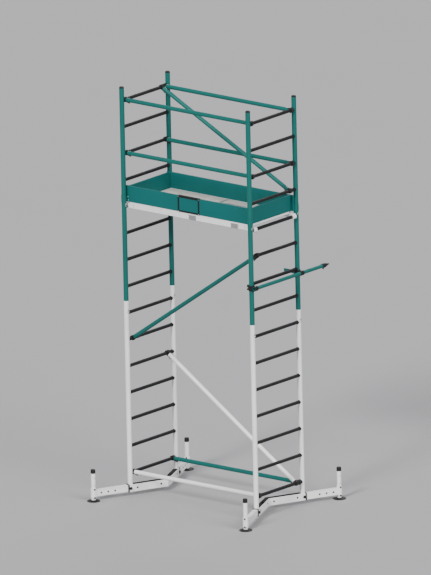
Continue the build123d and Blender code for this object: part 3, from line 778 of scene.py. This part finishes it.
for corner in corners:
    node = f"foot_pad_and_cap_{corner}"
    low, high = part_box(node)
    tube_low, tube_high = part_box(f"foot_tube_{corner}")
    tube_radius = (tube_high.x - tube_low.x) / 2
    cap_bottom = max(box[0].z for box in solids(node))
    foot = along_z((tube_low.x + tube_high.x) / 2, (tube_low.y + tube_high.y) / 2, 0)
    shapes = [stepped_pad((high.x - low.x) / 2, tube_radius, tube_low.z),
              ribbed_cap(cap_bottom, high.z, tube_radius + 0.002)]
    piece(f"moulded_foot_{corner}", [placed(shape, foot) for shape in shapes], "black_plastic",
          f"foot_{corner}", [node])

# %% [markdown]
# Two small lobed screws, one above the leg and one below it, lock the foot tube in its collar.
# They sit on the side of the collar that faces the front right corner of the tower.

# %% Foot lock screws
screw_radius = 0.0085
leg_height = 0.060
screw_drop = leg_height / 2 + screw_radius + 0.0007
foot_screw = [prism(lobed(6, screw_radius, 0.0016, 36), 0.0105, 0.0015),
              lathe([(0.009, 0.004), (0.0112, 0.0037), (0.0117, 0.0028)], 20)]
for corner, matrix in arms.items():
    leg_low, leg_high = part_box(f"outrigger_leg_{corner}")
    foot = middle(f"foot_tube_{corner}")
    collar_radius = max(abs(leg_low.x), abs(leg_high.x)) - abs(foot.x)
    tilt = matrix.to_3x3()
    ways = [tilt @ Vector(way) for way in [(1, 0, 0), (-1, 0, 0), (0, 1, 0), (0, -1, 0)]]
    facing = max(ways, key=lambda way: way.x - way.y)
    shapes = []
    for z in (lock_place[corner].z - screw_drop, lock_place[corner].z + screw_drop):
        screw = basis(Vector((foot.x, foot.y, z)) + facing * (collar_radius - 0.001), facing)
        shapes += [placed(shape, screw) for shape in foot_screw]
    piece(f"foot_lock_screws_{corner}", shapes, "black_plastic", f"leg_{corner}")

# %% [markdown]
# The beam's open ends are closed by black moulded guides that the legs slide through, and every
# cross hole has a black bush. The guide is a small section carried round the beam's outline, and
# a bush is turned. The bushes in a leg sit just under its surface, so that it still slides into
# its beam.

# %% Shapes of a guide and a bush
beam_width = 0.050
beam_height = 0.067
beam_corner = 0.003
guide_section = [(-0.009, 0.0002), (-0.009, 0.0022), (-0.008, 0.0028), (0.003, 0.0028),
                 (0.004, 0.0018), (0.004, -0.0026), (0.0035, -0.0029), (0.0002, -0.0029),
                 (0.0002, 0.0002)]
sunk_bush = lathe([(-0.003, 0.0087), (-0.0003, 0.0087), (-0.0003, 0.0064), (-0.0020, 0.0056),
                   (-0.0022, 0.0003)], 28)
proud_bush = lathe([(-0.0025, 0.0050), (0, 0.0050), (0, 0.0090), (0.0010, 0.0090),
                    (0.0016, 0.0082), (0.0016, 0.0056), (-0.0008, 0.0046), (-0.0010, 0.0003)], 28)


def guide(matrix, along, z):
    """The guide's section, swept round the beam: each point sits `out` from the beam's faces."""
    rings = []
    for step, out in guide_section:
        outline = rounded_bar(beam_width + 2 * out, beam_height + 2 * out, beam_corner + out)
        rings.append(np.column_stack([np.full(len(outline), along + step), outline + (0, z)]))
    return placed(grid_shape(np.stack(rings), closed=True), matrix)


def in_wall(shape, matrix, along, across, z):
    """A bush's shape set in the side wall of an arm or a leg, facing away from its axis."""
    facing = matrix.to_3x3() @ Vector((0, math.copysign(1, across), 0))
    return placed(shape, basis(matrix @ Vector((along, across, z)), facing))


print(len(guide_section), "corners in a guide's section")

# %% [markdown]
# A beam has two cross holes towards the bend and a third in the wall across from its lock screw,
# and a leg has three at an even pitch. Both kinds are set out from marks on the arm, the beam's
# from its lock screw and the leg's from the foot's axis, as a maker would mark them.

# %% Guides and bushes in place
leg_width = 0.043
leg_hole_pitch = 0.070
leg_hole_count = 3
lock_to_end = 0.020
lock_to_holes = (0.070, 0.310)
guides, beam_bushes = [], []
for corner, matrix in arms.items():
    lock = lock_place[corner]
    guides.append(guide(matrix, lock.x + lock_to_end, lock.z))
    for across in (-beam_width / 2, beam_width / 2):
        beam_bushes += [in_wall(proud_bush, matrix, lock.x - step, across, lock.z)
                        for step in lock_to_holes]
        if across * lock.y < 0:
            beam_bushes.append(in_wall(proud_bush, matrix, lock.x, across, lock.z))
    leg_bushes = [in_wall(sunk_bush, matrix, foot_reach - leg_hole_pitch * number, across, lock.z)
                  for number in range(1, leg_hole_count + 1)
                  for across in (-leg_width / 2, leg_width / 2)]
    piece(f"leg_hole_bushes_{corner}", leg_bushes, "black_plastic", f"leg_{corner}")
piece("beam_end_guides", guides, "black_plastic")
piece("beam_hole_bushes", beam_bushes, "black_plastic")

# %% [markdown]
# ## Braces
# Each brace ends in two claws that grip a rung. A claw's own frame has its x axis along the brace,
# away from the rung, so one set of shapes serves all of them. The frames are worked out from the
# rungs that each brace joins.

# %% Where the claws are
brace_rungs = {
    "guardrail_front": (14, 14), "guardrail_rear": (14, 14), "midrail_front": (12, 12),
    "midrail_rear": (12, 12), "diagonal_brace_upper_rear": (14, 11),
    "diagonal_brace_middle_front": (5, 9), "diagonal_brace_lower_rear": (4, 0),
    "base_rail_front": (0, 0), "base_rail_rear": (0, 0),
}
claws = []
for node, joined_rungs in brace_rungs.items():
    y = middle(node).y
    left, right = (Vector((x, y, rung_z[number])) for x, number in zip(end_x.values(), joined_rungs))
    claws += [basis(left, right - left), basis(right, left - right)]
tube_low, tube_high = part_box("guardrail_front")
brace_radius = (tube_high.z - tube_low.z) / 2
neck_length = tube_low.x - end_x["left"]
print(len(claws), "claws")

# %% [markdown]
# A claw is a casting with a plug that fills the brace tube's end, held by two rivets above and two
# below. Its lower jaw turns on a pin, whose heads show on both sides of the neck, and a pressed
# lever under the neck opens it. The lever is a bent strip: one side view, given a width.

# %% Rivets, pivots and jaw levers
def dome(radius, height):
    """A rivet head: heights follow h sin a and radii r cos a, over a quarter turn."""
    angle = np.linspace(0, math.pi / 2, 5)
    arc = [(height * math.sin(a), radius * max(math.cos(a), 0.08)) for a in angle]
    return lathe([(-0.0005, radius)] + arc, 16)


claw_half = 0.017
lever_half = 0.0075
rivet_steps = (0.010, 0.024)
pivot_step = 0.0042
pivot_rise = 0.002
lever_outline = [(-0.0082, 0.0004), (-0.0005, 0.0004), (0.002, -0.0012), (0.020, -0.0022),
                 (0.033, -0.0080), (0.0318, -0.0104), (0.019, -0.0048), (0.001, -0.0038),
                 (-0.0082, -0.0026)]
side_view = np.insert(np.array(lever_outline) + (neck_length, -brace_radius), 1, 0, axis=1)
lever = grid_shape(np.stack([side_view - (0, lever_half, 0), side_view + (0, lever_half, 0)]))
rivets, levers, pivots = [], [], []
for claw in claws:
    levers.append(placed(lever, claw))
    for way in (-1, 1):
        facing = claw.to_3x3() @ Vector((0, 0, way))
        for step in rivet_steps:
            spot = claw @ Vector((neck_length + step, 0, way * (brace_radius - 0.0004)))
            rivets.append(placed(dome(0.0042, 0.0022), basis(spot, facing, (0, 1, 0))))
        spot = claw @ Vector((neck_length - pivot_step, way * (claw_half - 0.0002), pivot_rise))
        pivots.append(placed(dome(0.0036, 0.0012), basis(spot, (0, way, 0))))
piece("claw_rivets", rivets, "zinc_steel")
piece("claw_jaw_pivots", pivots, "zinc_steel")
piece("claw_jaw_levers", levers, "black_casting")
print(len(rivets), "rivets")

# %% [markdown]
# ## Platform hardware
# The deck boards are riveted to the cross tubes, and the side rails show two rivets at each cross
# tube. A dot of bump would vanish against the light, so each rivet is a real turned cap, but only
# of a few dozen faces, since there are many.

# %% Deck and rail rivets
deck_low, deck_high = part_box("deck_boards")
rail_low, rail_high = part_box("platform_side_rails")
hatch_low, hatch_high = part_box("hatch_panel")
deck_rivet_margin = 0.03
deck_rivet_count = 6
rail_rivet_heights = (0.016, 0.036)
widest_tube = 0.1
deck_rivets, rail_rivets = [], []
for low, high in solids("platform_cross_members"):
    if high.x - low.x > widest_tube:  # the trimmer beside the hatch, which runs along x
        continue
    x = (low.x + high.x) / 2
    first_y = hatch_high.y if hatch_low.x < x < hatch_high.x else deck_low.y
    row = np.linspace(deck_low.y + deck_rivet_margin, deck_high.y - deck_rivet_margin, deck_rivet_count)
    deck_rivets += [placed(dome(0.006, 0.0018), along_z(x, y, deck_high.z)) for y in row if y >= first_y]
    for way, face in [(-1, rail_low.y), (1, rail_high.y)]:
        for height in rail_rivet_heights:
            spot = basis((x, face, rail_low.z + height), (0, way, 0))
            rail_rivets.append(placed(dome(0.0055, 0.0025), spot))
piece("deck_rivets", deck_rivets, "zinc_steel")
piece("side_rail_rivets", rail_rivets, "zinc_steel")

# %% [markdown]
# Thin aluminium edging protects the cut edges of the hatch board and of the opening round it. Each
# length is a flat bar with rounded corners, bedded a little into the board.

# %% Edging round the hatch
edging_width = 0.018
edging_thickness = 0.0014
edging_gap = 0.0015
edging_bed = 0.0003
hatch_inset = 0.002
deck_inset = 0.004
edging_z = deck_high.z + edging_thickness / 2 - edging_bed
edging_outline = rounded_bar(edging_width, edging_thickness, edging_thickness * 0.45)


def edging_x(start, end, y):
    """A length along x, from start to end, whose lower edge in y is given."""
    spot = Vector((start, y + edging_width / 2, edging_z))
    return placed(prism(edging_outline, end - start, 0.0003), basis(spot, (1, 0, 0)))


def edging_y(start, end, x):
    """A length along y, from start to end, whose lower edge in x is given."""
    spot = Vector((x + edging_width / 2, start, edging_z))
    return placed(prism(edging_outline, end - start, 0.0003), basis(spot, (0, 1, 0)))


hatch_edging = [edging_x(hatch_low.x + edging_width, hatch_high.x - edging_width,
                         hatch_high.y - edging_width)]
hatch_edging += [edging_y(hatch_low.y + hatch_inset, hatch_high.y, x)
                 for x in (hatch_low.x, hatch_high.x - edging_width)]
deck_edging = [edging_x(hatch_low.x, hatch_high.x, hatch_high.y + edging_gap)]
deck_edging += [edging_y(deck_low.y + deck_inset, deck_high.y - deck_inset, x)
                for x in (hatch_low.x - edging_gap - edging_width, hatch_high.x + edging_gap)]
piece("hatch_edging", hatch_edging, "raw_aluminium", "hatch")
piece("deck_edging", deck_edging, "raw_aluminium")

# %% [markdown]
# ## Small hardware of the toe boards and the wall tie
# The clips and the blank frame are screwed to the toe boards. A screw in a clip sits on the clip's
# tongue, so its place is found from the board's face and the thickness of the clip's wall.

# %% Screws of the clips and of the blank frame
clip_side_inset, clip_end_inset = 0.009, 0.014
frame_inset, frame_top_inset = 0.007, 0.011
screws = []
for low, high in solids("toe_board_clips"):
    side, way = ("rear", 1) if high.y > 0 else ("front", -1)
    board_low, board_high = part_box(f"toe_board_{side}")
    clip_wall = max(abs(low.y), abs(high.y)) - post_y - post_radius
    face = (board_high.y if way > 0 else board_low.y) + way * clip_wall
    x = low.x + clip_side_inset if low.x > 0 else high.x - clip_side_inset
    for z in (low.z + clip_end_inset, high.z - clip_end_inset):
        screws.append(placed(dome(0.0055, 0.0022), basis((x, face, z), (0, way, 0))))
frame_low, frame_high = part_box("toe_board_sign_frame")
for x in (frame_low.x + frame_inset, frame_high.x - frame_inset):
    for z in (frame_low.z + frame_inset, frame_high.z - frame_top_inset):
        screws.append(placed(dome(0.0042, 0.0018), basis((x, frame_low.y, z), (0, -1, 0))))
piece("clip_screws", screws, "zinc_steel")

# %% [markdown]
# The couplers of the wall tie are closed by bolts. Both have one over the tie tube, and the front
# one has another through its ears. A hexagon carried a few millimetres makes a head, and a thin
# turned rod is the shank.

# %% Coupler bolts
def hex_bolt(size, height, shank):
    """A hexagon head with the end of a round shank standing out of it."""
    rod = [(-0.002, shank), (height + 0.004, shank), (height + 0.005, shank * 0.8)]
    return [prism(polygon(6, size), height, 0.0007), lathe(rod, 16)]


ear_inset, ear_half = 0.010, 0.011
lid_height = 0.022
tie_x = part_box("wall_tie_tube")[1].x - 0.017
coupler_bolts = []
for low, high in solids("wall_tie_couplers"):
    y, z = (low.y + high.y) / 2, (low.z + high.z) / 2
    if y < 0:
        for way in (-1, 1):
            spot = basis((low.x + ear_inset, y + way * ear_half, z), (0, way, 0))
            coupler_bolts += [placed(shape, spot) for shape in hex_bolt(0.0095, 0.007, 0.005)]
    spot = along_z(tie_x, y, z + lid_height)
    coupler_bolts += [placed(shape, spot) for shape in hex_bolt(0.009, 0.006, 0.0045)]
piece("coupler_bolts", coupler_bolts, "zinc_steel")

# %% [markdown]
# ## Floor, light and camera
# The floor is plain and pale, and large enough to fill every view. Broad, faint clouds in its tone
# keep it from looking like paper.

# %% Floor
floor_half = 60.0
floor_corners = [(x * floor_half, y * floor_half, 0) for x, y in [(-1, -1), (1, -1), (1, 1), (-1, 1)]]
floor_mesh = bpy.data.meshes.new("floor")
floor_mesh.from_pydata(floor_corners, [], [(0, 1, 2, 3)])
floor = bpy.data.objects.new("floor", floor_mesh)
bpy.context.scene.collection.objects.link(floor)
ground = Finish("studio_floor")
cloud = ground.noise(0.8, 3.0)
grey = ground.mix(cloud * 0.5, (0.33, 0.327, 0.335), (0.36, 0.357, 0.365))
floor_mesh.materials.append(ground.finish(grey, 0.75))
print("floor", 2 * floor_half, "m wide")

# %% [markdown]
# The light is soft: an even sky and three broad suns, whose wide discs blur every shadow. The key
# and fill stand low at the front, so the upright faces of the white tubes come out brighter than
# the floor behind them.

# %% Light
world = bpy.data.worlds.new("studio")
world.use_nodes = True
sky = world.node_tree.nodes["Background"]
sky.inputs["Color"].default_value = (0.93, 0.95, 1.0, 1)
sky.inputs["Strength"].default_value = 0.42
bpy.context.scene.world = world


def towards(azimuth, elevation):
    """Unit vector to a compass direction: (sin a cos e, -cos a cos e, sin e), 0 being the front."""
    flat = math.cos(elevation)
    return Vector((math.sin(azimuth) * flat, -math.cos(azimuth) * flat, math.sin(elevation)))


def lamp(name, azimuth, elevation, strength, spread):
    """A broad sun at a compass direction; a wide spread gives soft shadows."""
    data = bpy.data.lights.new(name, "SUN")
    data.energy = strength
    data.angle = math.radians(spread)
    item = bpy.data.objects.new(name, data)
    source = towards(math.radians(azimuth), math.radians(elevation))
    item.rotation_euler = source.to_track_quat("Z", "Y").to_euler()
    bpy.context.scene.collection.objects.link(item)


lamp("key", 5, 36, 3.6, 14)
lamp("fill", 82, 30, 2.8, 30)
lamp("rim", 205, 40, 0.7, 30)
print("three lamps")

# %% [markdown]
# The camera has no perspective, as in a drawing, so that the uprights stay parallel. Its direction
# is worked out from its azimuth, elevation and a small roll, and it looks at a point straight
# above the lowest rungs.

# %% Camera
azimuth, elevation, roll = (math.radians(angle) for angle in (39.6, 15.11, -1.265))
back = towards(azimuth, elevation)
level = Vector((math.cos(azimuth), math.sin(azimuth), 0))
right = level * math.cos(roll) + back.cross(level) * math.sin(roll)
above = back.cross(right)
view_height = 5.222
aim_height = 1.7196
aim_left = 0.005
camera_distance = 12.0
aim = Vector((0, 0, rung_z[0])) - right * aim_left + above * aim_height
camera_data = bpy.data.cameras.new("camera")
camera_data.type = "ORTHO"
camera_data.ortho_scale = view_height
camera_data.clip_end = 200.0
camera = bpy.data.objects.new("camera", camera_data)
turn = Matrix((right, above, back)).transposed().to_4x4()
turn.translation = aim + back * camera_distance
camera.matrix_world = turn
bpy.context.scene.collection.objects.link(camera)
bpy.context.scene.camera = camera
print("camera looks at", [round(value, 3) for value in aim])
